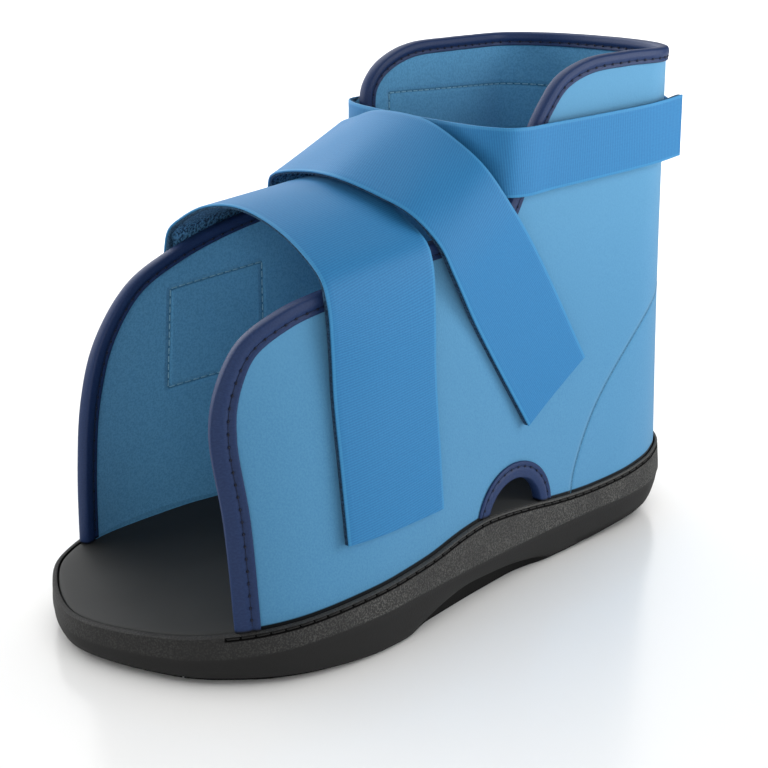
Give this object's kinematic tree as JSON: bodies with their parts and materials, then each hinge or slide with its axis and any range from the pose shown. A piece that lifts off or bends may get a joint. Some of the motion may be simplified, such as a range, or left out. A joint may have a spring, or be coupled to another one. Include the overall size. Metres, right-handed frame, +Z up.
{
  "type": "cast shoe",
  "caption": "Open-toe cast shoe for the left foot: moulded sole with footbed, padded felt upper with bound edges and side notches, and hook-and-loop straps over forefoot, instep and ankle.",
  "frame": {"origin": "middle of the shoe's outline on the ground", "axes": "+Z up; toe towards -Y, heel towards +Y; the outer (lateral) side, where the straps fasten, towards +X"},
  "size_m": [0.1265, 0.2868, 0.2024],
  "materials": {
    "sole": "moulded, grained band round the upper side wall",
    "footbed": "smooth satin",
    "felt": "short brushed felt",
    "tape": "woven satin tape, stitched",
    "webbing": "woven rib",
    "pile": "hook-and-loop pile"
  },
  "bodies": {
    "root": {"outsole": "sole", "footbed": "footbed", "upper": "felt", "edge_binding": "tape", "notch_binding_lateral": "tape", "notch_binding_medial": "tape", "forefoot_strap": "webbing", "forefoot_strap_pile": "pile", "instep_strap": "webbing", "instep_strap_pile": "pile", "ankle_strap": "webbing", "ankle_strap_pile": "pile", "heel_hook_patch": "pile"}
  },
  "joints": []
}
